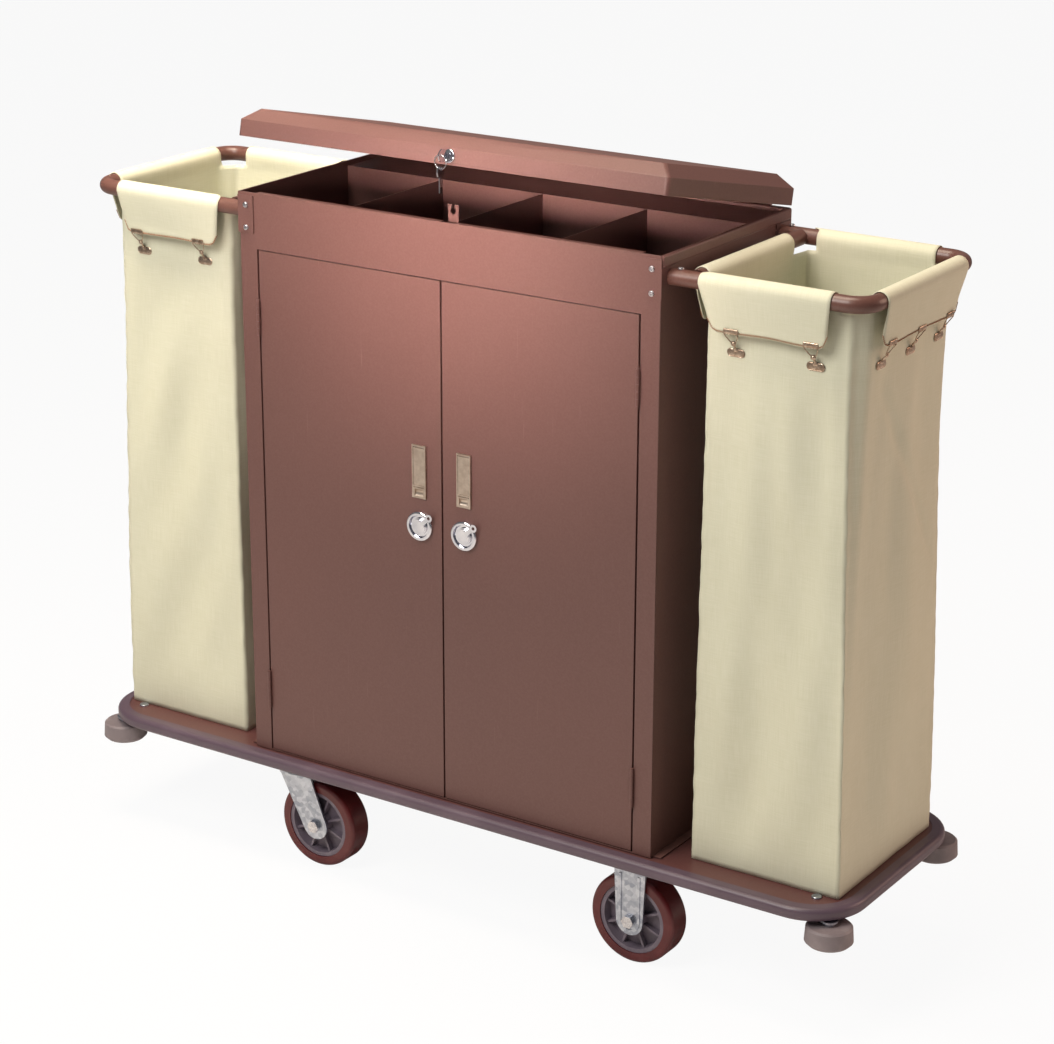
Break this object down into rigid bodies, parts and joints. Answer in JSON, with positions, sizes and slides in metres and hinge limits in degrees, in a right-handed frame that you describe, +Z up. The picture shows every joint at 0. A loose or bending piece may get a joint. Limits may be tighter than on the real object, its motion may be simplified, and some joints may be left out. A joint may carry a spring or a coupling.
{
  "type": "housekeeping cart",
  "caption": "Hotel housekeeping cart: a lidded steel cabinet with hinged doors and a divided top tray, between canvas bags on tube hoops, on a caster deck with corner rollers.",
  "frame": {"origin": "on the floor, below the middle of the deck", "axes": "+X along the cart to the right as seen from the doors, +Y from the doors to the back, +Z up"},
  "size_m": [1.45, 0.432, 1.2705],
  "materials": {
    "cabinet_paint": "baked brown enamel, semi-gloss",
    "deck_paint": "baked dark brown enamel",
    "frame_paint": "dark primer paint",
    "hoop_paint": "baked brown enamel",
    "rim_vinyl": "purple-grey vinyl edging",
    "zinc_steel": "bright zinc plate",
    "bright_steel": "bright plated fasteners",
    "clip_steel": "thin nickel plate gone warm",
    "satin_steel": "satin stainless steel",
    "chrome": "polished chrome plate",
    "canvas": "cream cotton canvas",
    "tread_rubber": "dark red polyurethane tread",
    "hub_plastic": "grey moulded plastic",
    "roller_rubber": "grey rubber"
  },
  "bodies": {
    "cart": {"deck_plate": "deck_paint", "deck_rim": "rim_vinyl", "deck_frame": "frame_paint", "deck_bolts": "zinc_steel", "roller_brackets": "zinc_steel", "rigid_forks": "zinc_steel", "rigid_axle_bolts": "bright_steel", "swivel_top_plates": "zinc_steel", "cabinet_right_side": "cabinet_paint", "cabinet_left_side": "cabinet_paint", "cabinet_back": "cabinet_paint", "cabinet_front_frame": "cabinet_paint", "cabinet_floor": "cabinet_paint", "shelves": "cabinet_paint", "tray_floor": "cabinet_paint", "tray_back": "cabinet_paint", "tray_dividers": "cabinet_paint", "hoop_brackets": "cabinet_paint", "bracket_screws": "bright_steel", "right_hoop": "hoop_paint", "left_hoop": "hoop_paint", "right_bag": "canvas", "left_bag": "canvas", "bag_clips": "clip_steel", "door_hinge_stile_leaves": "cabinet_paint", "lid_hinge_fixed_leaf": "cabinet_paint", "lid_strike": "cabinet_paint"},
    "lid_panel": {"lid": "cabinet_paint", "lid_hinge_moving_leaf": "cabinet_paint", "lid_lock_body": "chrome"},
    "lid_lock_plug": {"lid_lock_turn": "chrome"},
    "key_ring": {"hanging_key": "chrome"},
    "left_door_panel": {"left_door": "cabinet_paint", "left_door_hinge_leaves": "cabinet_paint", "left_pull_plate": "satin_steel", "left_lock_body": "chrome"},
    "left_pull": {"left_pull_leaf": "satin_steel"},
    "left_lock": {"left_lock_turn": "chrome"},
    "right_door_panel": {"right_door": "cabinet_paint", "right_door_hinge_leaves": "cabinet_paint", "right_pull_plate": "satin_steel", "right_lock_body": "chrome"},
    "right_pull": {"right_pull_leaf": "satin_steel"},
    "right_lock": {"right_lock_turn": "chrome"},
    "swivel_front": {"swivel_fork_front": "zinc_steel", "swivel_axle_bolt_front": "bright_steel"},
    "wheel_left_front": {"wheel_tread_left_front": "tread_rubber", "wheel_hub_left_front": "hub_plastic"},
    "roller_left_front": {"corner_roller_left_front": "roller_rubber"},
    "wheel_right_front": {"wheel_tread_right_front": "tread_rubber", "wheel_hub_right_front": "hub_plastic"},
    "roller_right_front": {"corner_roller_right_front": "roller_rubber"},
    "swivel_rear": {"swivel_fork_rear": "zinc_steel", "swivel_axle_bolt_rear": "bright_steel"},
    "wheel_left_rear": {"wheel_tread_left_rear": "tread_rubber", "wheel_hub_left_rear": "hub_plastic"},
    "roller_left_rear": {"corner_roller_left_rear": "roller_rubber"},
    "wheel_right_rear": {"wheel_tread_right_rear": "tread_rubber", "wheel_hub_right_rear": "hub_plastic"},
    "roller_right_rear": {"corner_roller_right_rear": "roller_rubber"}
  },
  "joints": [
    {"name": "lid_hinge", "type": "hinge", "parent": "cart", "child": "lid_panel", "pos_m": [0, 0.1956, 1.146], "axis": [-1, 0, 0], "range_deg": [-12.5, 82.5]},
    {"name": "lid_lock_turn", "type": "hinge", "parent": "lid_panel", "child": "lid_lock_plug", "pos_m": [0.012, -0.18174, 1.24399], "axis": [0, -0.9763, 0.2164], "range_deg": [0, 90]},
    {"name": "key_ring_swing", "type": "hinge", "parent": "lid_lock_plug", "child": "key_ring", "pos_m": [0.012, -0.20478, 1.2491], "axis": [1, 0, 0], "range_deg": [-60, 6]},
    {"name": "left_door_hinge", "type": "hinge", "parent": "cart", "child": "left_door_panel", "pos_m": [-0.351, -0.1933, 0.6], "axis": [0, 0, -1], "range_deg": [0, 115]},
    {"name": "left_pull_flap", "type": "hinge", "parent": "left_door_panel", "child": "left_pull", "pos_m": [-0.042, -0.1923, 0.7835], "axis": [-1, 0, 0], "range_deg": [0, 75]},
    {"name": "left_lock_turn", "type": "hinge", "parent": "left_door_panel", "child": "left_lock", "pos_m": [-0.042, -0.19, 0.657], "axis": [0, -1, 0], "range_deg": [0, 90]},
    {"name": "right_door_hinge", "type": "hinge", "parent": "cart", "child": "right_door_panel", "pos_m": [0.351, -0.1933, 0.6], "axis": [0, 0, 1], "range_deg": [0, 115]},
    {"name": "right_pull_flap", "type": "hinge", "parent": "right_door_panel", "child": "right_pull", "pos_m": [0.042, -0.1923, 0.7835], "axis": [-1, 0, 0], "range_deg": [0, 75]},
    {"name": "right_lock_turn", "type": "hinge", "parent": "right_door_panel", "child": "right_lock", "pos_m": [0.042, -0.19, 0.657], "axis": [0, 1, 0], "range_deg": [0, 90]},
    {"name": "swivel_front_turn", "type": "hinge", "parent": "cart", "child": "swivel_front", "pos_m": [-0.322, -0.144, 0.17], "axis": [0, 0, 1], "continuous": true},
    {"name": "wheel_left_front_spin", "type": "hinge", "parent": "swivel_front", "child": "wheel_left_front", "pos_m": [-0.278, -0.144, 0.075], "axis": [0, 1, 0], "continuous": true},
    {"name": "wheel_right_front_spin", "type": "hinge", "parent": "cart", "child": "wheel_right_front", "pos_m": [0.339, -0.144, 0.075], "axis": [0, 1, 0], "continuous": true},
    {"name": "roller_left_front_spin", "type": "hinge", "parent": "cart", "child": "roller_left_front", "pos_m": [-0.688, -0.178, 0.156], "axis": [0, 0, 1], "continuous": true},
    {"name": "roller_right_front_spin", "type": "hinge", "parent": "cart", "child": "roller_right_front", "pos_m": [0.688, -0.178, 0.156], "axis": [0, 0, 1], "continuous": true},
    {"name": "swivel_rear_turn", "type": "hinge", "parent": "cart", "child": "swivel_rear", "pos_m": [-0.322, 0.144, 0.17], "axis": [0, 0, 1], "continuous": true},
    {"name": "wheel_left_rear_spin", "type": "hinge", "parent": "swivel_rear", "child": "wheel_left_rear", "pos_m": [-0.278, 0.144, 0.075], "axis": [0, 1, 0], "continuous": true},
    {"name": "wheel_right_rear_spin", "type": "hinge", "parent": "cart", "child": "wheel_right_rear", "pos_m": [0.339, 0.144, 0.075], "axis": [0, 1, 0], "continuous": true},
    {"name": "roller_left_rear_spin", "type": "hinge", "parent": "cart", "child": "roller_left_rear", "pos_m": [-0.688, 0.178, 0.156], "axis": [0, 0, 1], "continuous": true},
    {"name": "roller_right_rear_spin", "type": "hinge", "parent": "cart", "child": "roller_right_rear", "pos_m": [0.688, 0.178, 0.156], "axis": [0, 0, 1], "continuous": true}
  ]
}
